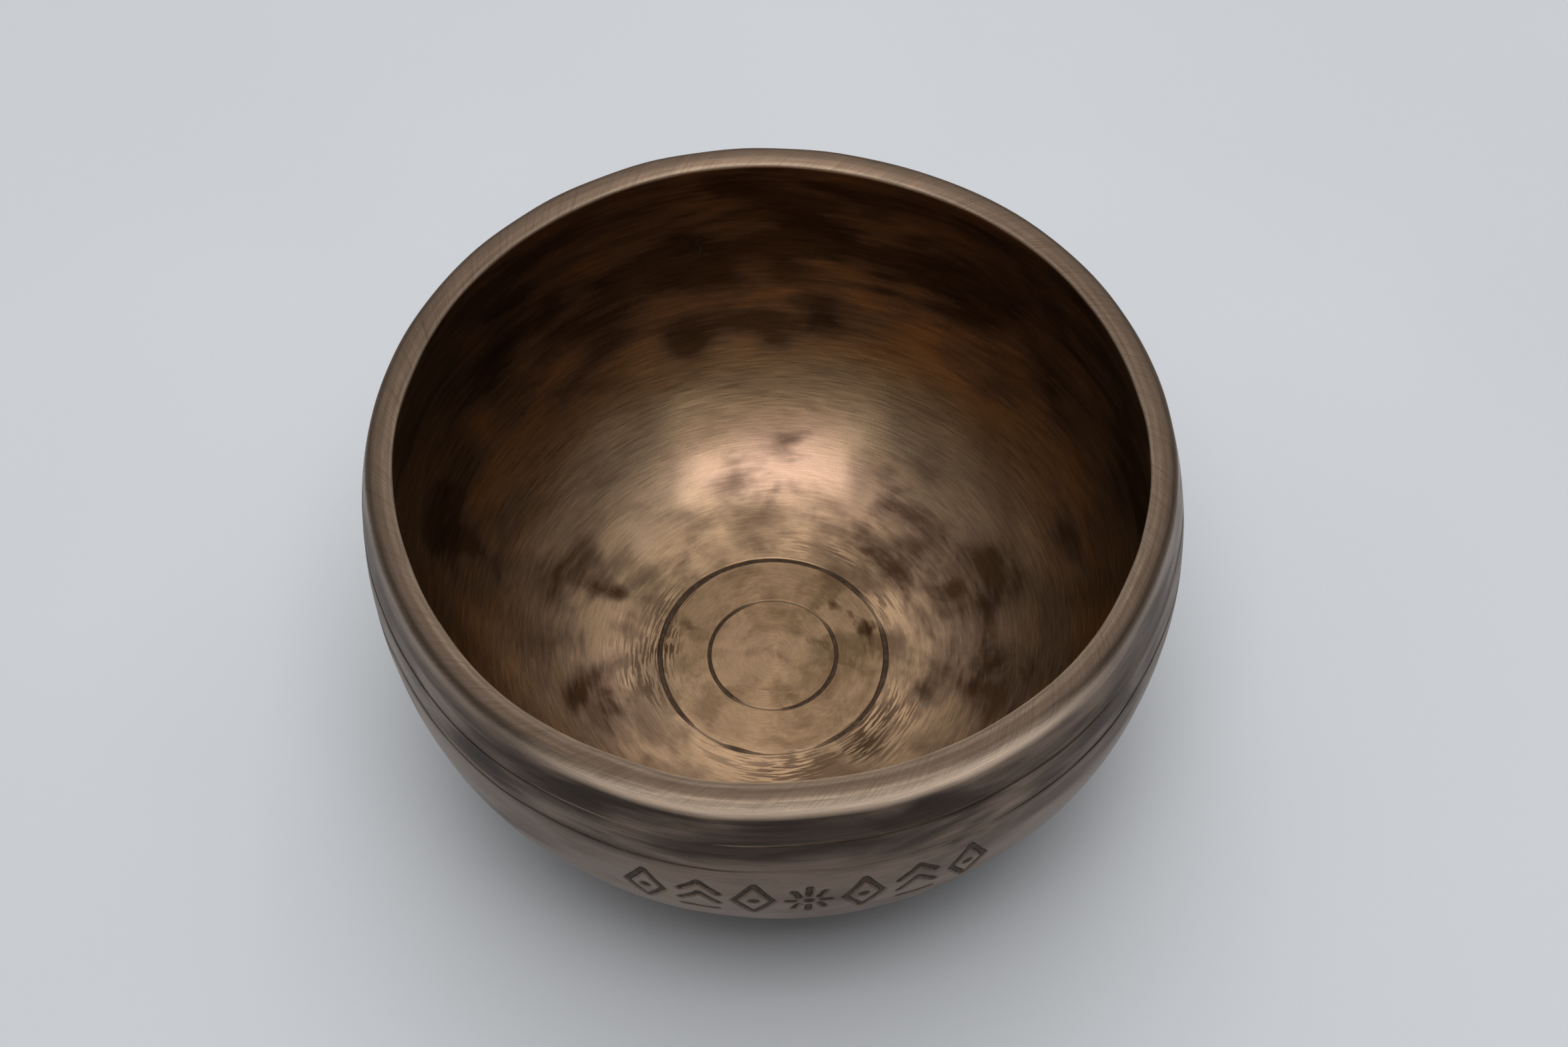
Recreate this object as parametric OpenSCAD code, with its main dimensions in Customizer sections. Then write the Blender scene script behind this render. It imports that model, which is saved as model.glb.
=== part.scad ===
// Singing bowl: one turned and hand-finished shell of bell metal, with dark wax rubbed into its cuts.
// Frame: millimetres, +Z up, origin at the centre of the foot. The punched band is on the -Y side.

/* [Bowl] */
// Outside diameter at the lip
rim_d = 120; // [112:1:124]
// Outside diameter at the widest place
belly_d = 126; // [125:1:132]
// Height from the foot to the top of the lip
bowl_h = 66; // [64:1:74]
// Height of the widest place above the foot
belly_z = 45.6; // [43:0.2:48]
// Diameter of the flat foot
foot_d = 44; // [38:1:56]

/* [Wall] */
// Thickness of the wall at the lip
lip_t = 3.75; // [3.2:0.05:4.6]
// Thickness of the wall at the widest place
belly_t = 3.3; // [2.4:0.1:4.2]
// Thickness of the floor
floor_t = 4.2; // [3.2:0.1:5]
// Radius of the crown over the top of the lip
crown_r = 3.8; // [3.8:0.1:8]
// Radius of the round on the outer edge of the lip
lip_round = 1.3; // [0.8:0.1:1.6]

/* [Turned rings and lines] */
// Diameter of the inner ring on the floor
inner_ring_d = 21.8; // [14:0.2:28]
// Diameter of the outer ring on the floor
outer_ring_d = 38.8; // [34:0.2:40]
// Width of the inner ring
inner_ring_w = 0.6; // [0.5:0.05:1.2]
// Width of the outer ring
outer_ring_w = 0.8; // [0.5:0.05:1.4]
// Depth of both rings
ring_depth = 0.4; // [0.25:0.05:0.8]
// Height of the upper line on the outside wall
upper_line_z = 57; // [54:0.5:60]
// Height of the lower line on the outside wall
lower_line_z = 50.5; // [49:0.5:52]
// Width of both lines
line_w = 0.7; // [0.5:0.05:1.2]
// Depth of both lines
line_depth = 0.3; // [0.2:0.05:0.6]

/* [Punched band] */
// Turn of the band's middle from the -Y direction
band_turn = 5; // [-10:1:10]
// Height of the band's middle above the foot
band_z = 40.8; // [38:0.2:42]
// Angle from one motif to the next
motif_pitch = 7.2; // [6.6:0.1:9]
// Width of one chisel stroke
stroke_w = 0.9; // [0.5:0.05:1.2]
// Depth of one chisel stroke
stroke_depth = 0.5; // [0.3:0.05:0.8]

/* [Hidden] */

$fn = 180;
proud = 1;          // how far a cutting tool stands out of the metal
fill_share = 0.55;  // share of a cut's depth that the wax takes up
crest_in = 1.1;     // from the rim's outside edge in to the highest place of the lip
ease = 0.03;        // how far the lip's round stands past the faces it joins
dot_d = 1.5;        // diameter of a punched dot
prism_reach = 1.6;  // how far a motif's prism reaches into the metal, and out of it
band_below = 20;    // how far below and above the widest place the band can reach
band_above = 6;

bronze = [0.52, 0.39, 0.26];
dark_wax = [0.13, 0.09, 0.07];

rim_r = rim_d / 2;
belly_r = belly_d / 2;
crown_c = [rim_r - crest_in, bowl_h - crown_r];
inner_edge_r = rim_r - lip_t;
inner_edge_z = crown_c[1] + sqrt(pow(crown_r, 2) - pow(crown_c[0] - inner_edge_r, 2));
inner_belly_r = belly_r - belly_t;

// In section each wall is two arcs that meet upright at the widest place, written as
// [radius at the widest place, radius of the arc above it, radius of the arc below it].
// An arc that starts upright gets its radius from how far it runs across and along.
function arc_radius(across, along) = (across * across + along * along) / (2 * across);
outer_wall = [
    belly_r,
    arc_radius(belly_r - rim_r, bowl_h - belly_z),
    arc_radius(belly_r - foot_d / 2, belly_z)
];
inner_wall = [
    inner_belly_r,
    arc_radius(inner_belly_r - inner_edge_r, inner_edge_z - belly_z),
    belly_z - floor_t
];

// How far the outside wall leans from upright at a height, and its radius there.
function bend(z) = z > belly_z ? outer_wall[1] : outer_wall[2];
function lean(z) = asin((z - belly_z) / bend(z));
function wall_r(z) = belly_r - bend(z) * (1 - cos(lean(z)));

// Half of the section that a wall encloses, from the axis outward, between two heights.
module enclosed(wall, low, high) {
    intersection() {
        union() {
            translate([wall[0] - wall[2], belly_z]) circle(wall[2]);
            translate([0, low]) square([wall[0] - wall[2], belly_z - low]);
        }
        translate([0, low]) square([wall[0] + proud, belly_z - low]);
    }
    intersection() {
        translate([wall[0] - wall[1], belly_z]) circle(wall[1]);
        translate([0, belly_z]) square([wall[0] + proud, high - belly_z]);
    }
}

// Everything under a disc and beside its centre, which takes the corner off whatever it is intersected with.
module under_disc(centre, r) {
    translate(centre) circle(r);
    square([belly_r + proud, centre[1]]);
}

module lip_form() {
    intersection() {
        under_disc(crown_c, crown_r);
        union() {
            under_disc([wall_r(bowl_h - lip_round) - lip_round, bowl_h - lip_round], lip_round + ease);
            square([rim_r - lip_round - ease, bowl_h + proud]);
        }
    }
}

// A turned cut in section: its mouth is w wide on the X axis, its sides slope, and it goes down from there.
// It is drawn up to a share of its depth, so a share over 1 stands out of the mouth.
module cut(w, depth, share) {
    bottom = w / 4;
    top = bottom * (1 + share);
    polygon([[-bottom, -depth], [bottom, -depth], [top, depth * (share - 1)], [-top, depth * (share - 1)]]);
}

module ring_cut(d, w, share) {
    translate([d / 2, floor_t]) cut(w, ring_depth, share);
}

module line_cut(z, share) {
    translate([wall_r(z), z]) rotate(lean(z) - 90) cut(line_w, line_depth, share);
}

module shell_section() {
    open_share = 2;
    difference() {
        intersection() {
            enclosed(outer_wall, 0, bowl_h);
            lip_form();
        }
        enclosed(inner_wall, floor_t, bowl_h + proud);
        ring_cut(inner_ring_d, inner_ring_w, open_share);
        ring_cut(outer_ring_d, outer_ring_w, open_share);
        line_cut(upper_line_z, open_share);
        line_cut(lower_line_z, open_share);
    }
}

// Motifs of the band: strokes by their two ends, in millimetres across and up from the motif's middle.
function both_sides(strokes) = concat(strokes, [for (s = strokes) [for (end = s) [-end[0], end[1]]]]);
lozenge = both_sides([
    [[0, 5.4], [2.7, 0]],
    [[2.7, 0], [0, -5.4]]
]);
chevrons = concat(
    both_sides([
        [[0, 5.4], [2.8, 2]],
        [[0, 1.7], [2.8, -1.7]]
    ]),
    [[[-2.5, -4.9], [2.5, -4.9]]]
);
sunburst = [for (a = [0 : 45 : 315]) [[2 * sin(a), 2 * cos(a)], [3.1 * sin(a), 4.6 * cos(a)]]];

// Each motif of the band, and whether it has a dot in its middle.
band = [
    [lozenge, true],
    [chevrons, false],
    [lozenge, true],
    [sunburst, true],
    [lozenge, true],
    [chevrons, false],
    [lozenge, true]
];

module stroke(ends) {
    run = ends[1] - ends[0];
    translate(ends[0])
        rotate(atan2(run[1], run[0]))
            translate([-stroke_w / 2, -stroke_w / 2])
                square([norm(run) + stroke_w, stroke_w]);
}

// The band's motifs as prisms that stand through the skin of the wall.
module band_prisms() {
    for (i = [0 : len(band) - 1])
        rotate([0, 0, band_turn + (i - (len(band) - 1) / 2) * motif_pitch])
            translate([0, -wall_r(band_z), band_z])
                rotate([90 - lean(band_z), 0, 0])
                    linear_extrude(height = 2 * prism_reach, center = true) {
                        for (ends = band[i][0]) stroke(ends);
                        if (band[i][1]) circle(d = dot_d);
                    }
}

// What lies deeper than a given depth under the outside wall, around the band.
module under_skin(depth) {
    rotate_extrude()
        enclosed([for (r = outer_wall) r - depth], belly_z - band_below, belly_z + band_above);
}

module bowl() {
    color(bronze)
        difference() {
            rotate_extrude() shell_section();
            difference() {
                band_prisms();
                under_skin(stroke_depth);
            }
        }
}

module inner_ring_fill() {
    color(dark_wax) rotate_extrude() ring_cut(inner_ring_d, inner_ring_w, fill_share);
}

module outer_ring_fill() {
    color(dark_wax) rotate_extrude() ring_cut(outer_ring_d, outer_ring_w, fill_share);
}

module upper_line_fill() {
    color(dark_wax) rotate_extrude() line_cut(upper_line_z, fill_share);
}

module lower_line_fill() {
    color(dark_wax) rotate_extrude() line_cut(lower_line_z, fill_share);
}

module band_fill() {
    color(dark_wax)
        difference() {
            intersection() {
                band_prisms();
                under_skin(stroke_depth * (1 - fill_share));
            }
            under_skin(stroke_depth);
        }
}

bowl();
inner_ring_fill();
outer_ring_fill();
upper_line_fill();
lower_line_fill();
band_fill();
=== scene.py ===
"""Looks of the singing bowl: a hand-finished bell-metal shell with dark wax left in its cuts.

The bowl's lengths are in millimetres and turned into metres as its meshes are made. The floor, lamps and
camera are in metres. Angles go round the bowl from the front (-Y) towards +X. "Run" is the distance along
the section's outline, from the centre of the foot up the outside, over the lip and down the inside to the
centre of the floor.
"""

import math

import bpy
import numpy as np
from mathutils import Euler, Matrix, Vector


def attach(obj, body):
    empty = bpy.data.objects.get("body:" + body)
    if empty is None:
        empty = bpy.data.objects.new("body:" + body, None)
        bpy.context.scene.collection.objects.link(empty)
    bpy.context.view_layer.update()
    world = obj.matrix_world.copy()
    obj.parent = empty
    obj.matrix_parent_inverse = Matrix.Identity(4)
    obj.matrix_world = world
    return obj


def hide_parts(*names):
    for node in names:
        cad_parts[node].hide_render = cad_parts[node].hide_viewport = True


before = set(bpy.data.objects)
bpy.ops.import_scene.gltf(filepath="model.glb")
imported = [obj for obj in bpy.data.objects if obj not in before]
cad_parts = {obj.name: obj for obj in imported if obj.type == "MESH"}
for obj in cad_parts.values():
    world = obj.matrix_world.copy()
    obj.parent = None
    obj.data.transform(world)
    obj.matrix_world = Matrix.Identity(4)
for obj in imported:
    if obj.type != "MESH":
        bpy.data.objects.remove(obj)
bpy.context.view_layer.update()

MM = 0.001
rng = np.random.default_rng(7)

# ---------------------------------------------------------------- sizes, as in the CAD
RIM_R, BELLY_R, HEIGHT, BELLY_Z, FOOT_R = 60.0, 63.0, 66.0, 45.6, 22.0
LIP_T, BELLY_T, FLOOR_T = 3.75, 3.3, 4.2
CROWN_R, LIP_ROUND, CREST_IN = 3.8, 1.3, 1.1
INNER_RING_R, OUTER_RING_R, RING_DEPTH = 10.9, 19.4, 0.4
INNER_RING_W, OUTER_RING_W = 0.6, 0.8
LINE_W, LINE_DEPTH = 0.7, 0.3
UPPER_LINE_Z, LOWER_LINE_Z = 57.0, 50.5
BAND_TURN, BAND_Z, MOTIF_PITCH = 5.0, 40.8, 7.2
BAND_HALF = 7.0  # half the height of the strip that holds the motifs
STROKE_W, STROKE_DEPTH, DOT_R = 0.9, 0.5, 0.75
WAX_LEVEL = 0.45  # share of a cut's depth that the wax leaves open


# ---------------------------------------------------------------- the section's outline
def arc_radius(across, along):
    """Radius of an arc that starts upright and moves this far across while it goes this far along."""
    return (across**2 + along**2) / (2 * across)


def arc(centre, radius, start, end, step=0.05):
    n = max(2, int(abs(end - start) * radius / step))
    t = np.linspace(start, end, n)
    return np.c_[centre[0] + radius * np.cos(t), centre[1] + radius * np.sin(t)]


def outline():
    """The section's outline as closely spaced points, radius and height, with its corners softened."""
    up = arc_radius(BELLY_R - RIM_R, HEIGHT - BELLY_Z)
    low = arc_radius(BELLY_R - FOOT_R, BELLY_Z)
    crown_c = np.array([RIM_R - CREST_IN, HEIGHT - CROWN_R])
    inner_r = RIM_R - LIP_T
    inner_z = crown_c[1] + math.sqrt(CROWN_R**2 - (crown_c[0] - inner_r) ** 2)
    belly_in = BELLY_R - BELLY_T
    up_in = arc_radius(belly_in - inner_r, inner_z - BELLY_Z)
    low_in = BELLY_Z - FLOOR_T

    # The round between the outside wall and the crown touches both.
    up_c = np.array([BELLY_R - up, BELLY_Z])
    gap = np.linalg.norm(crown_c - up_c)
    a, b = up - LIP_ROUND, CROWN_R - LIP_ROUND
    along = (gap**2 + a**2 - b**2) / (2 * gap)
    aside = math.sqrt(max(a**2 - along**2, 0))
    e = (crown_c - up_c) / gap
    round_c = up_c + along * e + aside * np.array([-e[1], e[0]])
    first = math.atan2(*(round_c - up_c)[::-1])
    last = math.atan2(*(round_c - crown_c)[::-1])
    inner_end = math.pi - math.acos((crown_c[0] - inner_r) / CROWN_R)

    foot_end = math.asin(-BELLY_Z / low)
    foot = np.c_[np.linspace(0, FOOT_R, 440), np.zeros(440)]
    floor_edge = belly_in - low_in
    parts = [
        foot,
        arc((BELLY_R - low, BELLY_Z), low, foot_end, 0)[1:],
        arc(up_c, up, 0, first)[1:],
        arc(round_c, LIP_ROUND, first, last)[1:],
        arc(crown_c, CROWN_R, last, inner_end)[1:],
        arc((belly_in - up_in, BELLY_Z), up_in, math.asin((inner_z - BELLY_Z) / up_in), 0)[1:],
        arc((floor_edge, BELLY_Z), low_in, 0, -math.pi / 2)[1:],
        np.c_[np.linspace(floor_edge, 0, 366), np.full(366, FLOOR_T)][1:],
    ]
    points = np.vstack(parts)
    # A blur over 12 points each way softens the outline's corners.
    kernel = np.exp(-0.5 * (np.arange(-12, 13) / 4.0) ** 2)
    kernel /= kernel.sum()
    soft = [
        np.convolve(np.pad(points[:, k], 12, mode="reflect", reflect_type="odd"), kernel, mode="valid")
        for k in (0, 1)
    ]
    points = np.stack(soft, axis=1)
    points[0], points[-1] = (0, 0), (0, FLOOR_T)
    return points


OUTLINE = outline()
RUN = np.r_[0, np.cumsum(np.linalg.norm(np.diff(OUTLINE, axis=0), axis=1))]
TANGENT = np.gradient(OUTLINE, RUN, axis=0)
NORMAL = np.c_[TANGENT[:, 1], -TANGENT[:, 0]]
NORMAL /= np.linalg.norm(NORMAL, axis=1)[:, None]
CREST = RUN[np.argmax(OUTLINE[:, 1])]
LENGTH = RUN[-1]
OUTER_EDGE = CREST - 1.8
NECK = (RUN > CREST) & (RUN < CREST + 8)
INNER_EDGE = RUN[NECK][np.argmin(OUTLINE[NECK, 0])]


def outer_run(z):
    """The run at a height on the outside wall."""
    side = (RUN > FOOT_R) & (RUN < CREST)
    return float(np.interp(z, OUTLINE[side, 1], RUN[side]))


def floor_run(r):
    """The run at a radius on the inside floor."""
    side = RUN > LENGTH - 40
    return float(np.interp(-r, -OUTLINE[side, 0], RUN[side]))


# ---------------------------------------------------------------- hand-made unevenness
def smooth(x, low, high):
    """0 below low, 1 above high, and a smooth step between."""
    t = np.clip((x - low) / (high - low), 0, 1)
    return t * t * (3 - 2 * t)


def hump(x, middle, half):
    """1 at the middle, and a smooth fall to both sides of it."""
    return np.exp(-(((x - middle) / half) ** 2))


class Waves:
    """A smooth random field over points in space: a sum of plane waves of about one length."""

    def __init__(self, length, count=14):
        way = rng.normal(size=(count, 3))
        way /= np.linalg.norm(way, axis=1)[:, None]
        self.k = way * (2 * math.pi / (length * rng.uniform(0.75, 1.35, count)))[:, None]
        self.phase = rng.uniform(0, 2 * math.pi, count)
        self.scale = math.sqrt(2 / count)

    def __call__(self, p):
        total = np.zeros(p.shape[:-1])
        for k, phase in zip(self.k, self.phase):
            total += np.sin(p @ k + phase)
        return total * self.scale


# Broad, middling and fine unevenness.
SWELL, RIPPLE, GRIT = Waves(34), Waves(13), Waves(4.5)
SIDE_LEAN = 0.75
# How the bowl is out of round: number of lobes, size in millimetres and phase of each wave.
OUT_OF_ROUND = [(2, 0.16, 0.7), (3, 0.10, 2.1), (5, 0.08, 4.0), (8, 0.06, 1.2), (13, 0.035, 3.3)]


def hammer_marks(count, low, high):
    """Random marks on the wall between two runs: angle in radians, run, radius and depth."""
    return np.c_[
        rng.uniform(-math.pi, math.pi, count),
        rng.uniform(low, high, count),
        rng.uniform(3.2, 6.5, count),
        rng.uniform(0.015, 0.05, count),
    ]


MARKS = np.vstack(
    [
        hammer_marks(190, outer_run(4), outer_run(62)),
        hammer_marks(120, INNER_EDGE + 4, floor_run(24)),
    ]
)


def dents(theta, run, radius):
    """How deep the hammer marks are at each place."""
    total = np.zeros(theta.shape)
    for at, along, size, depth in MARKS:
        near = np.abs(run - along) < size
        if not near.any():
            continue
        turn = (theta[near] - at + math.pi) % (2 * math.pi) - math.pi
        d2 = ((turn * radius[near]) ** 2 + (run[near] - along) ** 2) / size**2
        total[near] += depth * np.clip(1 - d2, 0, 1) ** 2
    return total


# ---------------------------------------------------------------- cuts
def wavering(theta, phase, amount):
    """A factor round 1 that changes slowly with the angle."""
    return 1 + amount * (
        0.5 * np.sin(3 * theta + phase)
        + 0.3 * np.sin(7 * theta + 2.3 * phase)
        + 0.2 * np.sin(13 * theta + 0.7 * phase)
    )


class TurnedCut:
    """A ring or line turned into the metal, all the way round.

    Its width and depth waver by a share of themselves, and both fade along the stretches in faded, which
    are angles and half widths in degrees. darkness is that of its wax, up to 1.
    """

    def __init__(self, run, width, depth, waver, faded, darkness):
        self.run, self.width, self.depth = run, width, depth
        self.waver, self.faded, self.darkness = waver, faded, darkness

    def strength(self, theta):
        """0 along the faded stretches and 1 along the rest."""
        keep = np.ones(np.shape(theta))
        for at, half in self.faded:
            away = np.abs((np.degrees(theta) - at + 180) % 360 - 180)
            keep = np.minimum(keep, smooth(away, half * 0.5, half * 1.4))
        return keep

    def depth_at(self, theta):
        return self.depth * wavering(theta, self.run, self.waver) * (0.2 + 0.8 * self.strength(theta))

    def width_at(self, theta):
        waver = wavering(theta, 1.7 * self.run, self.waver)
        return self.width * waver * (0.4 + 0.6 * self.strength(theta))


def floor_ring(radius, width, waver, faded):
    return TurnedCut(floor_run(radius), width, RING_DEPTH, waver, faded, 1.0)


def wall_line(z, faded):
    return TurnedCut(outer_run(z), LINE_W, LINE_DEPTH, 0.3, faded, 0.65)


TURNED = {
    "inner_ring_fill": floor_ring(INNER_RING_R, INNER_RING_W, 0.2, [(165, 40), (-12, 22)]),
    "outer_ring_fill": floor_ring(OUTER_RING_R, OUTER_RING_W, 0.3, [(-35, 12), (8, 20), (116, 11)]),
    "upper_line_fill": wall_line(UPPER_LINE_Z, [(-15, 16), (62, 14), (150, 25)]),
    "lower_line_fill": wall_line(LOWER_LINE_Z, [(15, 22), (-70, 12), (-150, 25)]),
}


def turned_sink(theta, run):
    """How deep the turned cuts are at each place."""
    total = np.zeros(theta.shape)
    for cut in TURNED.values():
        off = np.abs(run - cut.run)
        near = off < 1.5
        if near.any():
            side = 1 - smooth(off[near] / cut.width_at(theta[near]), 0.24, 0.5)
            total[near] = np.maximum(total[near], cut.depth_at(theta[near]) * side)
    return total


def both_sides(strokes):
    """The strokes, and the same ones mirrored left to right."""
    return strokes + [[(-x, y) for x, y in ends] for ends in strokes]


# Motifs as chisel strokes, each by its two ends in millimetres from the motif's middle.
LOZENGE = both_sides([[(0, 5.4), (2.7, 0)], [(2.7, 0), (0, -5.4)]])
CHEVRONS = both_sides([[(0, 5.4), (2.8, 2)], [(0, 1.7), (2.8, -1.7)]]) + [[(-2.5, -4.9), (2.5, -4.9)]]
SUNBURST = [
    [(2 * math.sin(a), 2 * math.cos(a)), (3.1 * math.sin(a), 4.6 * math.cos(a))]
    for a in np.radians(np.arange(0, 360, 45))
]
# The band from left to right: each motif's strokes, and whether it has a dot in its middle.
BAND = [
    (LOZENGE, True),
    (CHEVRONS, False),
    (LOZENGE, True),
    (SUNBURST, True),
    (LOZENGE, True),
    (CHEVRONS, False),
    (LOZENGE, True),
]
BAND_RUN = outer_run(BAND_Z)
BAND_R = float(np.interp(BAND_RUN, RUN, OUTLINE[:, 0]))


def band_distance(theta, run):
    """How far each place is outside the nearest chisel stroke or dot of the band, in millimetres."""
    best = np.full(theta.shape, 9.0)
    shake = np.random.default_rng(3)
    for i, (strokes, dotted) in enumerate(BAND):
        middle = math.radians(BAND_TURN + (i - (len(BAND) - 1) / 2) * MOTIF_PITCH)
        x, y = (theta - middle) * BAND_R, run - BAND_RUN
        for ends in strokes:
            a, b = (np.array(end) + shake.normal(0, 0.07, 2) for end in ends)
            half = STROKE_W / 2 * shake.uniform(0.88, 1.1)
            way = b - a
            t = np.clip(((x - a[0]) * way[0] + (y - a[1]) * way[1]) / (way @ way), 0, 1)
            d = np.hypot(x - a[0] - t * way[0], y - a[1] - t * way[1]) - half
            best = np.minimum(best, d)
        if dotted:
            best = np.minimum(best, np.hypot(x, y) - DOT_R)
    return best


def band_sink(theta, run):
    """How deep the band's strokes and dots are at each place."""
    return STROKE_DEPTH * (1 - smooth(band_distance(theta, run), -0.12, 0.18))


# ---------------------------------------------------------------- from angle and run to a place
def place(theta, run, sink):
    """Places, in metres, at an angle and a run, sunk under the surface by so many millimetres."""
    r = np.interp(run, RUN, OUTLINE[:, 0])
    z = np.interp(run, RUN, OUTLINE[:, 1])
    nr = np.interp(run, RUN, NORMAL[:, 0])
    nz = np.interp(run, RUN, NORMAL[:, 1])
    r, z = r - sink * nr, z - sink * nz
    # The whole wall leans a little to the right, so both sides of it move together.
    share = np.clip(z / HEIGHT, 0, 1)
    rounds = sum(a * np.sin(n * theta + phase) for n, a, phase in OUT_OF_ROUND)
    reach = smooth(r, 12, 45)
    belly = np.sin(math.pi * np.clip(z / 62, 0, 1)) ** 1.2
    lean = reach * (rounds * (0.35 + 0.65 * share) + SIDE_LEAN * np.sin(theta) * belly)
    around = np.stack([r * np.sin(theta), -r * np.cos(theta), z * 0.6], axis=-1)
    lean = lean + reach * share * 0.12 * SWELL(around)
    z = z + 0.16 * smooth(z, 30, 66) * (np.sin(2 * theta + 0.4) + 0.5 * np.sin(5 * theta + 2) - 1)
    r = np.maximum(r + lean, 0)
    return np.stack([r * np.sin(theta), -r * np.cos(theta), z], axis=-1) * MM


def surface(theta, run):
    """The metal's surface, with its cuts, dents and ripples."""
    r = np.interp(run, RUN, OUTLINE[:, 0])
    z = np.interp(run, RUN, OUTLINE[:, 1])
    p = np.stack([r * np.sin(theta), -r * np.cos(theta), z], axis=-1)
    inside = smooth(run, INNER_EDGE, INNER_EDGE + 4)
    on_wall = smooth(run, FOOT_R + 1, FOOT_R + 9) * smooth(np.abs(run - CREST), 3, 9)
    calm = 0.35 + 0.65 * smooth(r, 20, 34)
    wave = 0.035 * RIPPLE(p) * (0.7 + 0.8 * inside) + 0.006 * GRIT(p)
    lip = 1 - smooth(np.abs(run - CREST), 2.5, 6)
    sink = on_wall * calm * (wave + dents(theta, run, r)) + lip * 0.03 * RIPPLE(p)
    sink = sink + turned_sink(theta, run) + band_sink(theta, run)
    return place(theta, run, sink)


# ---------------------------------------------------------------- the metal's mesh
COLUMNS = 240
COLUMN_TURN = 360 / COLUMNS
FINE = 10  # how many times finer the grid is in the band
FINE_STEP = 0.165
BAND_ROWS = 9  # the grid's rows that the fine block replaces


def spaced(start, end, step):
    """Evenly spaced numbers from start, about a step apart, that stop short of end."""
    return list(np.linspace(start, end, max(1, round(abs(end - start) / step)) + 1)[:-1])


def metal_rows():
    """Runs of the grid's rows, the foot's centre left out, and the numbers of those that bound the band."""
    band_low = BAND_RUN - BAND_ROWS / 2 * FINE * FINE_STEP
    band_high = BAND_RUN + BAND_ROWS / 2 * FINE * FINE_STEP
    inner, outer, upper, lower = (cut.run for cut in TURNED.values())
    # Stretches along the outline: where each ends, and the step between its rows. Cuts and edges are finer.
    stretches = [
        (FOOT_R - 1, 2.4),
        (FOOT_R + 1.5, 0.4),
        (band_low, 1.9),
        (band_high, FINE * FINE_STEP),
        (lower - 0.8, 1.2),
        (lower + 0.8, 0.13),
        (upper - 0.8, 1.4),
        (upper + 0.8, 0.13),
        (OUTER_EDGE - 1.2, 1.4),
        (INNER_EDGE + 1, 0.24),
        (INNER_EDGE + 6, 0.9),
        (outer - 1, 1.5),
        (outer + 1, 0.14),
        (inner - 0.8, 1.3),
        (inner + 0.8, 0.12),
        (LENGTH - 2, 1.5),
    ]
    rows = []
    start = 2
    for end, step in stretches:
        rows += spaced(start, end, step)
        start = end
    first = rows.index(band_low)
    return np.array(rows + [start]), first, first + BAND_ROWS


def metal_mesh():
    """Points and faces of the metal, with the angle and run of each point.

    It is a grid of rows and columns round the whole bowl, with a finer block in place of it at the band.
    """
    rows, low, high = metal_rows()
    angles = np.radians(np.arange(COLUMNS) * 360 / COLUMNS - 180)
    left, right = (round((BAND_TURN + side + 180) / COLUMN_TURN) for side in (-26, 26.5))
    inside_block = np.zeros((len(rows), COLUMNS), bool)
    inside_block[low + 1 : high, left + 1 : right] = True

    ids = np.full((len(rows), COLUMNS), -1)
    ids[~inside_block] = np.arange((~inside_block).sum())
    run, theta = (a[~inside_block] for a in np.meshgrid(rows, angles, indexing="ij"))
    count = len(run)

    fine_run = np.linspace(rows[low], rows[high], (high - low) * FINE + 1)
    fine_theta = np.linspace(angles[left], angles[right], (right - left) * FINE + 1)
    fine = np.full((len(fine_run), len(fine_theta)), -1)
    edge = np.zeros(fine.shape, bool)
    edge[[0, -1], ::FINE] = True
    edge[::FINE, [0, -1]] = True
    for a, b in zip(*np.nonzero(edge)):
        fine[a, b] = ids[low + a // FINE, left + b // FINE]
    fresh = fine < 0
    fine[fresh] = count + np.arange(fresh.sum())
    more_run, more_theta = (g[fresh] for g in np.meshgrid(fine_run, fine_theta, indexing="ij"))
    run, theta = np.r_[run, more_run], np.r_[theta, more_theta]

    # The grid's faces beside the block also take in the block's points along their shared edge.
    faces = []
    for i in range(len(rows) - 1):
        for j in range(COLUMNS):
            if low <= i < high and left <= j < right:
                continue
            k = (j + 1) % COLUMNS
            bottom = [ids[i, j], ids[i, k]]
            top = [ids[i + 1, k], ids[i + 1, j]]
            start, stop = (j - left) * FINE, (j + 1 - left) * FINE
            if left <= j < right and i == high:
                bottom = list(fine[-1, start : stop + 1])
            if left <= j < right and i + 1 == low:
                top = list(fine[0, start : stop + 1][::-1])
            face = bottom + top
            start, stop = (i - low) * FINE, (i + 1 - low) * FINE
            if low <= i < high and j == right:
                face = bottom + top + list(fine[start + 1 : stop, -1][::-1])
            if low <= i < high and j + 1 == left:
                face = bottom + list(fine[start + 1 : stop, 0]) + top
            faces.append([int(v) for v in face])
    for a in range(len(fine_run) - 1):
        for b in range(len(fine_theta) - 1):
            face = [fine[a, b], fine[a, b + 1], fine[a + 1, b + 1], fine[a + 1, b]]
            faces.append([int(v) for v in face])
    # Fans of triangles close the centres of the foot and of the floor.
    foot, bed = len(run), len(run) + 1
    run, theta = np.r_[run, 0.0, LENGTH], np.r_[theta, 0.0, 0.0]
    for j in range(COLUMNS):
        k = (j + 1) % COLUMNS
        faces.append([foot, int(ids[0, k]), int(ids[0, j])])
        faces.append([bed, int(ids[-1, j]), int(ids[-1, k])])
    return surface(theta, run), faces, theta, run


def make_object(name, points, faces, material):
    mesh = bpy.data.meshes.new(name)
    mesh.from_pydata([tuple(p) for p in points], [], faces)
    mesh.validate()
    mesh.polygons.foreach_set("use_smooth", [True] * len(mesh.polygons))
    mesh.materials.append(material)
    mesh.update()
    piece = bpy.data.objects.new(name, mesh)
    bpy.context.scene.collection.objects.link(piece)
    return piece


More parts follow.
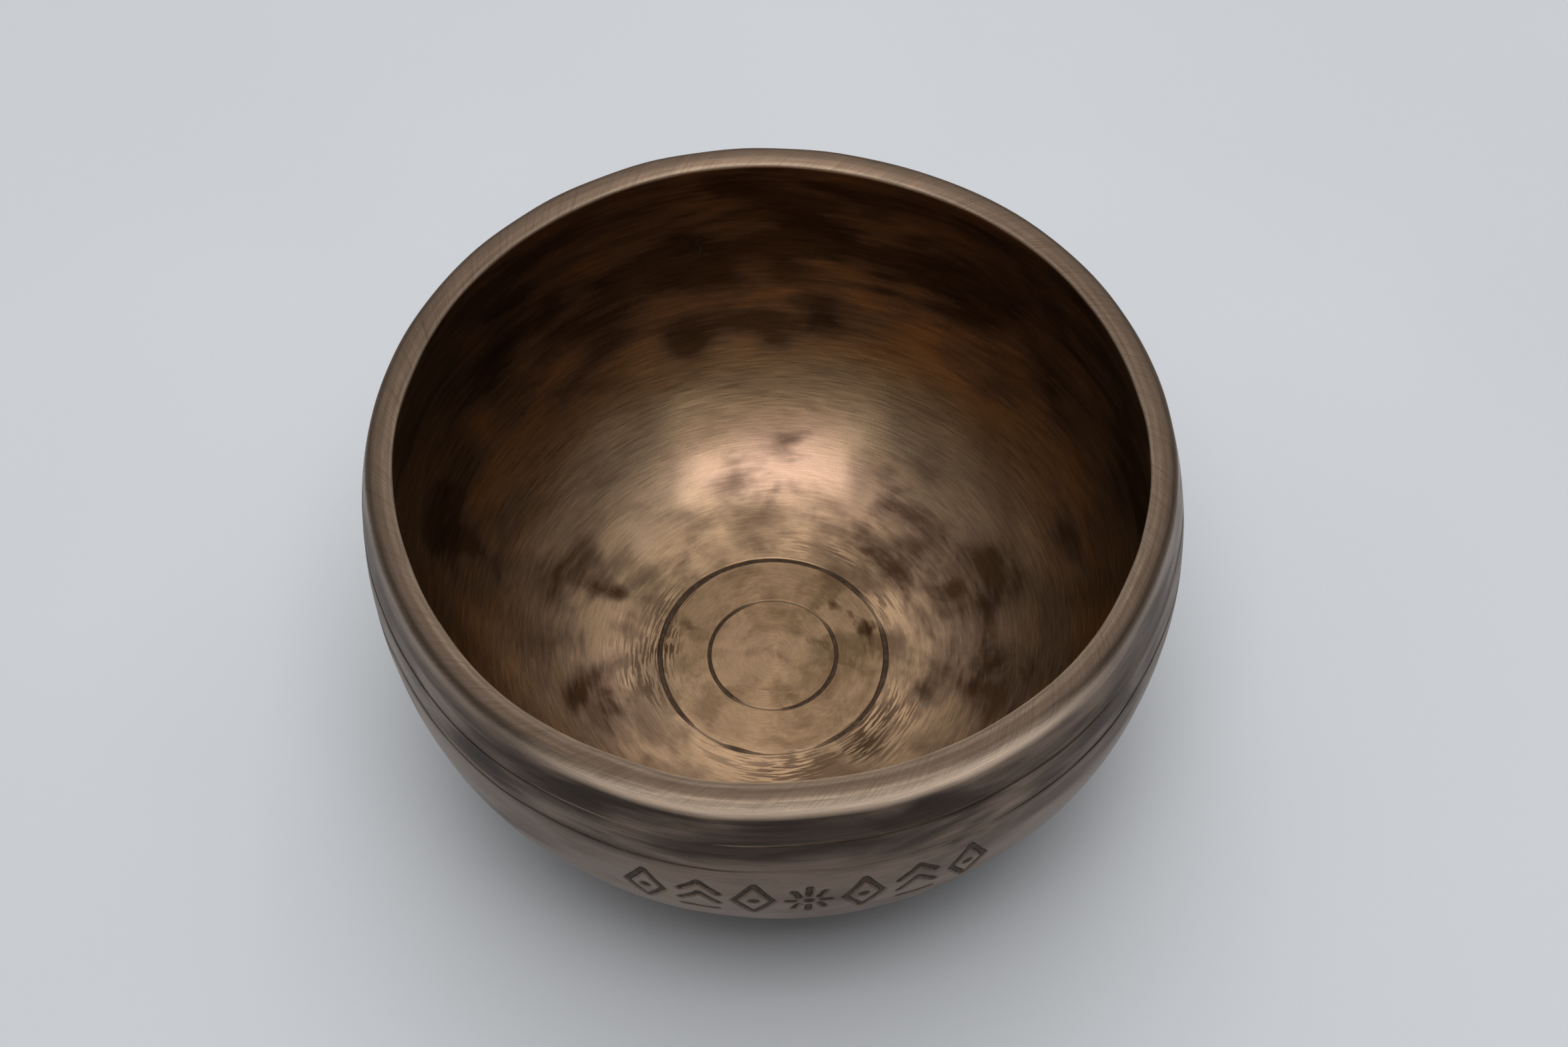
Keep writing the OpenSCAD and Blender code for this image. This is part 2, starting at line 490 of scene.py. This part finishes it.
def add_values(piece, name, values):
    """Stores a number for each point, which the materials read by its name."""
    layer = piece.data.attributes.new(name, "FLOAT", "POINT")
    layer.data.foreach_set("value", np.asarray(values, np.float32))


# ---------------------------------------------------------------- node graphs
class Graph:
    """Short names for the shader nodes that the materials are built from."""

    def __init__(self, name):
        self.material = bpy.data.materials.new(name)
        self.material.use_nodes = True
        self.tree = self.material.node_tree
        self.shader = self.tree.nodes["Principled BSDF"]
        at = self.add("ShaderNodeTexCoord").outputs["Object"]
        scaled = self.add("ShaderNodeVectorMath", {"operation": "SCALE"}, Scale=1 / MM)
        self.give(scaled.inputs[0], at)
        self.at = scaled.outputs[0]
        self.x, self.y, self.z = self.add("ShaderNodeSeparateXYZ", Vector=self.at).outputs
        self.r = self.maths("SQRT", self.plus(self.times(self.x, self.x), self.times(self.y, self.y)))

    def add(self, kind, settings=None, **inputs):
        node = self.tree.nodes.new(kind)
        for key, value in (settings or {}).items():
            setattr(node, key, value)
        for key, value in inputs.items():
            self.give(node.inputs[key.replace("_", " ")], value)
        return node

    def give(self, socket, value):
        if isinstance(value, bpy.types.NodeSocket):
            self.tree.links.new(value, socket)
        else:
            socket.default_value = value

    def maths(self, operation, a, b=None):
        node = self.add("ShaderNodeMath", {"operation": operation})
        for socket, value in zip(node.inputs, (a, b)):
            if value is not None:
                self.give(socket, value)
        return node.outputs[0]

    def times(self, a, b):
        return self.maths("MULTIPLY", a, b)

    def plus(self, a, b):
        return self.maths("ADD", a, b)

    def minus(self, a, b):
        return self.maths("SUBTRACT", a, b)

    def most(self, a, b):
        return self.maths("MAXIMUM", a, b)

    def between(self, value, low, high, start=0.0, end=1.0):
        """start below low, end above high, and a smooth step between."""
        node = self.add("ShaderNodeMapRange", {"interpolation_type": "SMOOTHSTEP"})
        names = ("Value", "From Min", "From Max", "To Min", "To Max")
        for name, number in zip(names, (value, low, high, start, end)):
            self.give(node.inputs[name], number)
        return node.outputs[0]

    def noise(self, at, scale, detail=3.0, rough=0.5, warp=0.0):
        node = self.add("ShaderNodeTexNoise", None, Vector=at, Scale=scale, Detail=detail)
        self.give(node.inputs["Roughness"], rough)
        self.give(node.inputs["Distortion"], warp)
        return node.outputs[0]

    def mix(self, share, a, b, how="MIX"):
        node = self.add("ShaderNodeMix", {"data_type": "RGBA", "blend_type": how, "clamp_factor": True})
        # A Mix node's colours go in at 6 and 7, and come out at 2.
        for socket, value in zip((node.inputs[0], node.inputs[6], node.inputs[7]), (share, a, b)):
            self.give(socket, value)
        return node.outputs[2]

    def painted(self, name):
        return self.add("ShaderNodeAttribute", {"attribute_name": name}).outputs["Fac"]

    def around(self, turns, along):
        """A place that changes slowly round the bowl and fast along the section, for turned marks."""
        run = self.painted("run")
        unit = self.most(self.r, 12.0)
        node = self.add(
            "ShaderNodeCombineXYZ",
            None,
            X=self.times(self.maths("DIVIDE", self.x, unit), turns),
            Y=self.times(self.maths("DIVIDE", self.y, unit), turns),
            Z=self.times(run, along),
        )
        return node.outputs[0]

    def slanted(self, turns, slant, along):
        """As around, but the marks climb the section: slant is radians for each millimetre."""
        run = self.painted("run")
        turn = self.plus(self.maths("ARCTAN2", self.x, self.y), self.times(run, slant))
        node = self.add(
            "ShaderNodeCombineXYZ",
            None,
            X=self.times(self.maths("COSINE", turn), turns),
            Y=self.times(self.maths("SINE", turn), turns),
            Z=self.times(run, along),
        )
        return node.outputs[0]

    def bump(self, height, distance, strength, under=None):
        node = self.add("ShaderNodeBump", None, Height=height, Distance=distance, Strength=strength)
        if under is not None:
            self.give(node.inputs["Normal"], under)
        return node.outputs[0]

    def finish(self, **sockets):
        """Gives the shader its inputs, and returns the material."""
        for key, value in sockets.items():
            self.give(self.shader.inputs[key.replace("_", " ")], value)
        return self.material


def rgb(r, g, b):
    return (r, g, b, 1.0)


# Colours of the metal, its patina, the wax and the surface under the bowl, in linear light.
WARM, WARM_DEEP = rgb(0.375, 0.243, 0.143), rgb(0.315, 0.203, 0.117)
OLIVE, POLISH, ROSE = rgb(0.23, 0.158, 0.083), rgb(0.5, 0.355, 0.225), rgb(0.45, 0.285, 0.215)
GOLDEN = rgb(1.05, 0.9, 0.68)
GREY, GREY_DEEP = rgb(0.26, 0.184, 0.136), rgb(0.205, 0.147, 0.111)
GROUND, BRIGHT, SCRATCH = rgb(0.132, 0.092, 0.065), rgb(0.92, 0.69, 0.5), rgb(0.08, 0.052, 0.035)
# Lip colours, lighter at the front and darker at the back: painted light and shade.
LIP_FRONT_PAINTED_LIGHT, LIP_BACK_PAINTED_SHADE = rgb(0.31, 0.225, 0.16), rgb(0.215, 0.145, 0.1)
BROWN_DEEP, BROWN = rgb(0.034, 0.0145, 0.0055), rgb(0.067, 0.033, 0.0145)
OUTSIDE_DARK_DEEP, OUTSIDE_DARK = rgb(0.043, 0.03, 0.0235), rgb(0.073, 0.053, 0.042)
PLUM, VERDIGRIS = rgb(0.165, 0.107, 0.09), rgb(0.03, 0.13, 0.115)
WAX_DEEP, WAX_DARK = rgb(0.046, 0.029, 0.017), rgb(0.09, 0.058, 0.034)
WAX_DUSTY, WAX_WORN = rgb(0.13, 0.09, 0.062), rgb(0.25, 0.175, 0.115)
PAPER_DULL, PAPER_PALE = rgb(0.79, 0.815, 0.85), rgb(0.81, 0.835, 0.865)


def bell_metal():
    g = Graph("bell_metal")
    inside, lip, edge, bevel = (g.painted(name) for name in ("inside", "lip", "edge", "bevel"))
    patina_and_shade, tint, polished = (g.painted(name) for name in ("patina_and_shade", "tint", "polished"))
    cut, worked, green = (g.painted(name) for name in ("cut", "worked", "green"))

    broad = g.noise(g.at, 0.03, 2.0)
    cloud = g.noise(g.around(1.5, 0.06), 1.0, 3.0, 0.5, 0.4)
    smoke = g.noise(g.around(2.4, 0.13), 1.0, 3.0, 0.5, 0.7)
    smear = g.noise(g.around(3.6, 0.3), 1.0, 4.0, 0.6, 0.4)
    streak = g.noise(g.around(5.0, 1.3), 1.0, 4.0, 0.6, 0.2)
    brushed = g.noise(g.around(9.0, 2.6), 1.0, 4.0, 0.65)
    fine = g.noise(g.around(26.0, 9.0), 1.0, 2.0, 0.6)
    hair = g.noise(g.around(7.0, 4.6), 1.0, 3.0, 0.7)
    grain = g.noise(g.at, 4.5, 3.0, 0.7)
    stain = g.noise(g.at, 0.15, 4.0, 0.6, 0.5)
    speckle = g.noise(g.at, 1.4, 4.0, 0.7)
    scratch = g.noise(g.slanted(240.0, 0.017, 0.02), 1.0, 2.0, 0.5)
    gouge = g.noise(g.slanted(75.0, 0.021, 0.05), 1.0, 3.0, 0.6)

    # Clean metal: warm inside and more golden up the wall, greyer outside, and duller on the ground lip.
    tone = g.between(broad, 0.35, 0.65)
    warm = g.mix(tone, WARM, WARM_DEEP)
    warm = g.mix(g.times(g.between(cloud, 0.48, 0.72), 0.65), warm, OLIVE)
    warm = g.mix(g.times(polished, 0.7), warm, POLISH)
    warm = g.mix(g.times(tint, 0.6), warm, ROSE)
    # More golden up the wall: painted shade, the deeper colour that light takes on as it bounces between
    # the walls.
    warm = g.mix(g.between(g.z, 8.0, 28.0), warm, GOLDEN, "MULTIPLY")
    clean = g.mix(inside, g.mix(tone, GREY, GREY_DEEP), warm)
    # The lip's inner slope is lighter at the front and darker at the back: painted light and shade.
    lip_painted_light_and_shade = g.mix(g.between(g.y, -50.0, 50.0), LIP_FRONT_PAINTED_LIGHT, LIP_BACK_PAINTED_SHADE)
    clean = g.mix(lip, clean, g.mix(bevel, GROUND, lip_painted_light_and_shade))

    # Patina and painted shade: patches with torn edges, among them painted shade under the lip inside, a
    # thin uneven film everywhere with stains on the floor inside the outer ring, smoke along the wall
    # lines, residue beside the cuts and short turned dashes.
    wisp = g.plus(g.times(g.minus(smoke, 0.5), 0.75), g.times(g.minus(smear, 0.5), 0.4))
    wisp = g.plus(wisp, g.times(g.minus(streak, 0.5), 0.22))
    patch = g.between(g.plus(patina_and_shade, g.times(wisp, 1.9)), 0.14, 0.92)
    patch = g.times(patch, g.minus(1.0, g.times(lip, 0.85)))
    film = g.between(g.plus(cloud, g.times(wisp, 0.9)), 0.44, 0.8)
    on_bed = g.times(inside, g.between(g.r, 17.5, 20.5, 1.0, 0.0))
    film = g.most(film, g.times(on_bed, g.between(stain, 0.4, 0.7, 0.45, 0.9)))
    film = g.times(film, g.minus(0.66, g.times(lip, 0.48)))
    film = g.times(film, g.minus(1.0, g.times(polished, 0.75)))
    smoky = g.times(g.painted("smoky"), g.between(g.plus(cloud, g.times(wisp, 0.8)), 0.38, 0.62))
    halo = g.times(g.between(g.plus(cut, g.times(g.minus(brushed, 0.5), 1.6)), 0.35, 1.0), 0.42)
    dashes = g.noise(g.around(5.0, 2.4), 1.0, 2.0, 0.5)
    dashes = g.times(g.between(g.plus(dashes, g.times(worked, 0.08)), 0.51, 0.6), worked)
    patina_with_shade = g.most(g.most(g.times(patch, 0.96), film), g.most(halo, g.times(dashes, 0.92)))
    patina_with_shade = g.most(patina_with_shade, g.times(smoky, 0.75))
    thickness = g.between(smear, 0.35, 0.65)
    brown = g.mix(thickness, BROWN_DEEP, BROWN)
    dark_outside = g.mix(thickness, OUTSIDE_DARK_DEEP, OUTSIDE_DARK)
    # Dark patina and the painted shade under the lip take the brown colours inside and the dark ones
    # outside.
    colour = g.mix(patina_with_shade, clean, g.mix(inside, dark_outside, brown))
    fringe = g.times(g.times(patina_with_shade, g.minus(1.0, patina_with_shade)), g.times(g.minus(inside, on_bed), 0.9))
    colour = g.mix(fringe, colour, PLUM)

    # Polished inner edge, painted highlight on the lip's outer round, slanted scratches on the lip, specks
    # of verdigris, and fine turned and grainy shading.
    colour = g.mix(g.times(edge, 0.95), colour, BRIGHT)
    marks = g.times(g.between(scratch, 0.4, 0.7), 0.26)
    marks = g.plus(marks, g.times(g.between(gouge, 0.52, 0.7), 0.16))
    colour = g.mix(g.times(lip, marks), colour, SCRATCH)
    colour = g.mix(g.times(green, g.between(speckle, 0.56, 0.64)), colour, VERDIGRIS)
    shade = g.plus(g.between(brushed, 0.3, 0.7, 0.87, 1.07), g.between(hair, 0.3, 0.7, -0.11, 0.11))
    shade = g.plus(shade, g.between(grain, 0.3, 0.7, -0.04, 0.1))
    even = g.add("ShaderNodeCombineColor", None, Red=shade, Green=shade, Blue=shade).outputs[0]
    colour = g.mix(1.0, colour, even, "MULTIPLY")

    rough = g.plus(0.3, g.times(patina_with_shade, 0.16))
    rough = g.plus(rough, g.times(g.minus(brushed, 0.5), 0.2))
    rough = g.plus(rough, g.times(lip, g.plus(g.times(marks, 0.15), 0.1)))

    across = g.mix(lip, g.plus(g.times(brushed, 0.7), g.times(fine, 0.3)), g.times(scratch, 0.4))
    normal = g.bump(across, 0.00004, 0.5)
    normal = g.bump(speckle, 0.00002, 0.2, normal)
    # Turning marks run round the bowl, so reflections spread up and down it.
    tangent = g.add("ShaderNodeTangent", {"direction_type": "RADIAL", "axis": "Z"}).outputs[0]
    return g.finish(
        Base_Color=colour,
        Metallic=1.0,
        Roughness=rough,
        Normal=normal,
        Anisotropic=0.8,
        Anisotropic_Rotation=0.25,
        Tangent=tangent,
    )


def dark_wax():
    g = Graph("dark_wax")
    lump = g.noise(g.at, 1.1, 4.0, 0.6)
    grain = g.noise(g.at, 6.0, 3.0, 0.7)
    thin = g.noise(g.at, 0.35, 3.0, 0.6)
    colour = g.mix(g.between(lump, 0.35, 0.7), WAX_DEEP, WAX_DARK)
    colour = g.mix(g.times(g.between(thin, 0.52, 0.7), 0.5), colour, WAX_DUSTY)
    colour = g.mix(g.times(g.painted("worn"), 0.95), colour, WAX_WORN)
    rough = g.plus(0.5, g.times(grain, 0.3))
    normal = g.bump(g.plus(lump, g.times(grain, 0.4)), 0.00012, 0.6)
    return g.finish(Base_Color=colour, Roughness=rough, Specular_IOR_Level=0.2, Normal=normal)


def paper():
    g = Graph("pale_surface")
    fibre = g.noise(g.at, 2.2, 5.0, 0.7)
    tone = g.between(g.noise(g.at, 0.01, 2.0), 0.3, 0.7)
    colour = g.mix(tone, PAPER_DULL, PAPER_PALE)
    normal = g.bump(fibre, 0.0001, 0.25)
    return g.finish(Base_Color=colour, Roughness=g.plus(0.6, g.times(fibre, 0.15)), Normal=normal)


METAL, WAX, PAPER = bell_metal(), dark_wax(), paper()

# ---------------------------------------------------------------- the bowl
# Soft patches on the inside: angle, distance down from the lip's inner edge, half width and
# half height in millimetres, and strength. The first list, broad and under the lip, is painted shade; the
# others are dark patina.
# Painted shade on the upper inside walls, under the lip at the sides and the back.
PAINTED_SHADE_UNDER_LIP = [
    (-95, 12, 70, 20, 0.75),
    (95, 12, 70, 20, 0.78),
    (180, 6, 70, 10, 0.56),
    (180, 25, 90, 15, 0.4),
]
BACK_PATCHES = [
    (158, 23, 9, 5, 0.9),
    (141, 23, 10, 5.5, 0.9),
    (174, 20, 10, 8, 0.9),
    (176, 27, 9, 6, 0.8),
    (172, 36, 10, 3.5, 0.8),
    (178, 38.5, 10, 3.5, 0.8),
    (140, 37, 9, 6, 0.6),
    (138, 64, 7, 6, 0.85),
    (130, 70, 6, 5, 0.5),
    (138, 75, 5, 4, 0.5),
    (175, 64, 7, 2.3, 0.45),
    (-175, 73, 4, 6, 0.6),
    (-170, 40, 16, 3.5, 0.75),
    (-163, 21, 10, 9, 0.85),
    (-152, 30, 9, 5, 0.6),
    (-143, 26, 12, 6, 0.8),
    (-140, 35, 12, 8, 0.7),
    (-128, 30, 11, 8, 0.75),
]
SIDE_PATCHES = [
    (125, 33, 9, 6, 0.6),
    (116, 74, 8, 5, 0.55),
    (112, 85, 5, 3, 0.45),
    (108, 44, 8, 6, 0.5),
    (106, 64, 11, 9, 0.8),
    (108, 71, 8, 6, 0.45),
    (100, 30, 14, 10, 0.8),
    (92, 70, 9, 7, 0.55),
    (85, 64, 8, 6, 0.4),
    (75, 76, 6, 4, 0.5),
    (78, 60, 7, 6, 0.75),
    (68, 61, 8, 6, 0.7),
    (74, 68, 5, 3, 0.5),
    (-58, 70, 8, 6, 0.5),
    (-76, 69, 6, 10, 0.72),
    (-83, 78, 6, 3, 0.5),
    (-103, 36, 9, 8, 0.9),
    (-100, 44, 7, 9, 0.7),
    (-103, 63, 11, 8, 0.78),
    (-114, 70, 3, 8, 0.8),
]
FLOOR_PATCHES = [(136, 87, 3.5, 2, 0.65), (106, 86.5, 4, 2, 0.6), (4, 91, 5, 2, 0.3)]
PATCHES = PAINTED_SHADE_UNDER_LIP + BACK_PATCHES + SIDE_PATCHES + FLOOR_PATCHES

# The same for rosy metal, polished metal, short turned dashes and specks of verdigris.
TINTS = [(178, 65, 26, 6.5, 1.0), (-75, 72, 10, 7, 0.45), (95, 70, 8, 6, 0.35)]
POLISHED = [
    (161, 48, 15, 6, 1.0),
    (155, 54, 15, 5, 0.9),
    (-142, 55, 11, 6, 0.7),
    (180, 47, 20, 4, 0.8),
    (-158, 52, 14, 6, 0.9),
    (-148, 67, 9, 7, 0.6),
    (-70, 82, 9, 5, 0.5),
]
WORKED = [(-90, 82, 14, 6, 1.0), (38, 80, 18, 5.5, 1.0), (145, 80, 14, 5, 0.7), (5, 79, 12, 4, 0.5)]
GREENS = [(-165, 21, 2.5, 2, 1.0), (68, 76, 2, 2, 1.0)]

# Dark places on the outside wall, with the height above the foot in the second place.
OUTER_PATCHES = [
    # These three make the front of the wall dark just under the lip.
    (0, 59.5, 46, 7, 1.0),
    (-3, 58.5, 34, 4, 0.7),
    (48, 57, 28, 6, 0.7),
    # These are dark patina.
    (-40, 54, 14, 3.5, 0.6),
    (-62, 52, 12, 3, 0.6),
    (-80, 55, 9, 2.5, 0.5),
    (60, 52, 15, 4, 0.65),
    (82, 54, 12, 3, 0.55),
    (25, 51, 14, 3, 0.5),
    (130, 50, 18, 5, 0.6),
    (-140, 46, 16, 5, 0.6),
    (175, 55, 20, 4, 0.5),
]


def patches(theta, run, entries):
    """How strongly soft patches cover each place. The middle of each is given by angle and run."""
    total = np.zeros(theta.shape)
    r = np.interp(run, RUN, OUTLINE[:, 0])
    p = np.stack([r * np.sin(theta), -r * np.cos(theta), np.interp(run, RUN, OUTLINE[:, 1])], axis=-1)
    sideways, upward = 2.2 * RIPPLE(p), 1.3 * RIPPLE(p[:, ::-1])
    for at, along, wide, tall, strength in entries:
        turn = (theta - math.radians(at) + math.pi) % (2 * math.pi) - math.pi
        d2 = ((turn * r + sideways) / wide) ** 2 + ((run - along + upward) / tall) ** 2
        total = 1 - (1 - total) * (1 - strength * np.exp(-1.1 * d2))
    return total


def down_inside(entries):
    """Entries with a distance down the inside turned into ones with a run."""
    return [(at, INNER_EDGE + down, *rest) for at, down, *rest in entries]


def up_outside(entries):
    """Entries with a height on the outside wall turned into ones with a run."""
    return [(at, outer_run(z), *rest) for at, z, *rest in entries]


points, faces, theta, run = metal_mesh()
metal = make_object("bowl_metal", points, faces, METAL)
add_values(metal, "run", run)
add_values(metal, "inside", smooth(run, INNER_EDGE - 0.3, INNER_EDGE + 0.6))
on_lip = smooth(run, OUTER_EDGE - 0.9, OUTER_EDGE + 0.2)
off_lip = smooth(run, INNER_EDGE - 0.2, INNER_EDGE + 0.3)
add_values(metal, "lip", on_lip * (1 - off_lip))
add_values(metal, "bevel", smooth(run, CREST + 0.7, CREST + 1.6))
# The lip's inner edge is polished all round; its outer round gets a painted highlight, mostly near the
# front.
# Angle where the painted highlight on the lip's outer round is centred.
PAINTED_HIGHLIGHT_AT = 7  # degrees
sharp_edge = 0.55 * hump(run, INNER_EDGE - 0.25, 0.45)
at_front = 1 - smooth(np.abs(np.degrees(theta) - PAINTED_HIGHLIGHT_AT), 22, 46)
round_edge = smooth(run, OUTER_EDGE - 2.65, OUTER_EDGE - 1.35)
round_edge *= 1 - smooth(run, OUTER_EDGE + 0.35, OUTER_EDGE + 1.35)
add_values(metal, "edge", np.minimum(sharp_edge + round_edge * (0.08 + 0.92 * at_front), 1))
# Dark patina together with the painted shade under the lip inside.
add_values(metal, "patina_and_shade", patches(theta, run, down_inside(PATCHES) + up_outside(OUTER_PATCHES)))
add_values(metal, "tint", patches(theta, run, down_inside(TINTS)))
add_values(metal, "worked", patches(theta, run, down_inside(WORKED)))
add_values(metal, "polished", patches(theta, run, down_inside(POLISHED)))
add_values(metal, "green", patches(theta, run, down_inside(GREENS)))
# Residue beside the cuts, and smoke along the wall lines.
near_cut = np.zeros(run.shape)
for cut in TURNED.values():
    residue = hump(run, cut.run, cut.width * 0.6) * (0.2 + 0.8 * cut.strength(theta))
    near_cut = np.maximum(near_cut, residue)
near_cut = np.maximum(near_cut, 0.8 * (1 - smooth(band_distance(theta, run), 0.1, 0.8)))
add_values(metal, "cut", near_cut)
smoky = [hump(run, outer_run(z), 1.7) for z in (UPPER_LINE_Z, LOWER_LINE_Z)]
add_values(metal, "smoky", np.maximum(*smoky))
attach(metal, "root")
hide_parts("bowl")


# ---------------------------------------------------------------- the wax
def ring_of_wax(name):
    """A closed ring that lies in a turned cut: five points across its top and five under the metal."""
    cut = TURNED[name]
    steps = 480
    angles = np.linspace(-math.pi, math.pi, steps, endpoint=False)
    across = np.array([-0.42, -0.2, 0.0, 0.2, 0.42])
    rise = np.array([0.0, 0.10, 0.16, 0.10, 0.0])
    side = len(across)
    loop = 2 * side
    full = cut.depth_at(angles)
    theta = np.repeat(angles[:, None], loop, axis=1)
    run = cut.run + cut.width_at(angles)[:, None] * np.r_[across, across[::-1] * 0.9]
    uneven = 0.06 * np.sin(23 * angles + cut.run) + 0.05 * np.sin(41 * angles)
    level = (WAX_LEVEL + rise[None, :] * 0.8 + uneven[:, None]) * full[:, None]
    sink = np.concatenate([level, np.full((steps, side), cut.depth * 1.35)], axis=1)
    points = place(theta.ravel(), run.ravel(), sink.ravel())
    faces = []
    for i in range(steps):
        j = (i + 1) % steps
        for a in range(loop):
            b = (a + 1) % loop
            faces.append([i * loop + a, i * loop + b, j * loop + b, j * loop + a])
    piece = make_object(name.replace("fill", "wax"), points, faces, WAX)
    add_values(piece, "worn", 1 - cut.darkness * cut.strength(theta.ravel()))
    return piece


def band_of_wax():
    """The wax in the band: the cells of a fine grid that lie in a stroke or dot, as closed bits."""
    run = np.arange(BAND_RUN - BAND_HALF, BAND_RUN + BAND_HALF, FINE_STEP)
    theta = np.radians(np.arange(BAND_TURN - 26, BAND_TURN + 26, 0.15))
    run, theta = np.meshgrid(run, theta, indexing="ij")
    inside = band_distance(theta, run) < 0.10
    cells = inside[:-1, :-1] & inside[1:, :-1] & inside[:-1, 1:] & inside[1:, 1:]
    used = np.zeros(inside.shape, bool)
    for a in (0, 1):
        for b in (0, 1):
            used[a : a + cells.shape[0], b : b + cells.shape[1]] |= cells
    ids = np.full(inside.shape, -1)
    ids[used] = np.arange(used.sum())
    t, s = theta[used], run[used]
    flat = np.stack([t * BAND_R, s, np.zeros(len(t))], axis=-1)
    level = STROKE_DEPTH * (WAX_LEVEL + 0.09 * GRIT(flat))
    n = len(t)
    points = np.vstack([place(t, s, level), place(t, s, np.full(n, STROKE_DEPTH * 1.3))])
    faces = []
    rows, columns = cells.shape
    for i, j in zip(*np.nonzero(cells)):
        a, b, c, d = (int(ids[i + p, j + q]) for p, q in ((0, 0), (0, 1), (1, 1), (1, 0)))
        faces.append([a, b, c, d])
        faces.append([d + n, c + n, b + n, a + n])
        if i == 0 or not cells[i - 1, j]:
            faces.append([b, a, a + n, b + n])
        if i == rows - 1 or not cells[i + 1, j]:
            faces.append([d, c, c + n, d + n])
        if j == 0 or not cells[i, j - 1]:
            faces.append([a, d, d + n, a + n])
        if j == columns - 1 or not cells[i, j + 1]:
            faces.append([c, b, b + n, c + n])
    return make_object("band_wax", points, faces, WAX)


for node in TURNED:
    wax = ring_of_wax(node)
    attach(wax, "root")
    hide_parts(node)
wax = band_of_wax()
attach(wax, "root")
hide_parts("band_fill")

# The CAD's own nodes carry the same two materials.
for name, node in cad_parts.items():
    node.data.materials.clear()
    node.data.materials.append(METAL if name == "bowl" else WAX)

# ---------------------------------------------------------------- floor, light and camera
FLOOR_HALF = 12.0  # its far edge is out of sight in views from 15 degrees up or higher
floor = make_object(
    "pale_floor",
    [(x * FLOOR_HALF, y * FLOOR_HALF, 0) for x, y in ((-1, -1), (1, -1), (1, 1), (-1, 1))],
    [[0, 1, 2, 3]],
    PAPER,
)


def soft_light(name, spot, target, size, power):
    """A rectangular lamp at a spot, turned towards a target: metres and watts."""
    lamp = bpy.data.lights.new(name, "AREA")
    lamp.shape = "RECTANGLE"
    lamp.size, lamp.size_y = size
    lamp.energy = power
    holder = bpy.data.objects.new(name, lamp)
    holder.location = spot
    holder.rotation_euler = (Vector(target) - Vector(spot)).to_track_quat("-Z", "Y").to_euler()
    bpy.context.scene.collection.objects.link(holder)


soft_light("overhead", spot=(0.0, 0.46, 0.9), target=(0, 0.46, 0), size=(0.7, 1.2), power=3.1)
soft_light("key", spot=(0.01, -0.24, 0.88), target=(0, 0, 0.03), size=(0.62, 0.30), power=2.05)

# The room: brightest above and behind the bowl, and dim in front of it.
BRIGHTEST_WAY = (0.0, 0.45, 0.893)
DIM, PALE = rgb(0.09, 0.092, 0.097), rgb(0.56, 0.57, 0.58)
world = bpy.data.worlds.new("soft_room")
bpy.context.scene.world = world
world.use_nodes = True
nodes, links = world.node_tree.nodes, world.node_tree.links
toward = nodes.new("ShaderNodeVectorMath")
toward.operation = "DOT_PRODUCT"
toward.inputs[1].default_value = BRIGHTEST_WAY
ramp = nodes.new("ShaderNodeValToRGB")
dimmest, palest = ramp.color_ramp.elements
dimmest.position, dimmest.color = 0.3, DIM
palest.position, palest.color = 1.0, PALE
links.new(nodes.new("ShaderNodeTexCoord").outputs["Generated"], toward.inputs[0])
links.new(toward.outputs["Value"], ramp.inputs[0])
links.new(ramp.outputs[0], nodes["Background"].inputs["Color"])

# The camera fits the photograph's view of the rim and the floor rings.
LENS, SENSOR = 50.27, 36.0  # millimetres
CAMERA_AT = (0.0019, -0.1939, 0.3272)
LOOK_DOWN = 55.61  # degrees
camera_data = bpy.data.cameras.new("camera")
camera_data.lens, camera_data.sensor_width = LENS, SENSOR
camera_data.clip_start = 0.01
camera = bpy.data.objects.new("camera", camera_data)
camera.location = CAMERA_AT
camera.rotation_euler = Euler((math.radians(90 - LOOK_DOWN), 0, 0))
bpy.context.scene.collection.objects.link(camera)
bpy.context.scene.camera = camera
bpy.context.scene.view_settings.view_transform = "Standard"
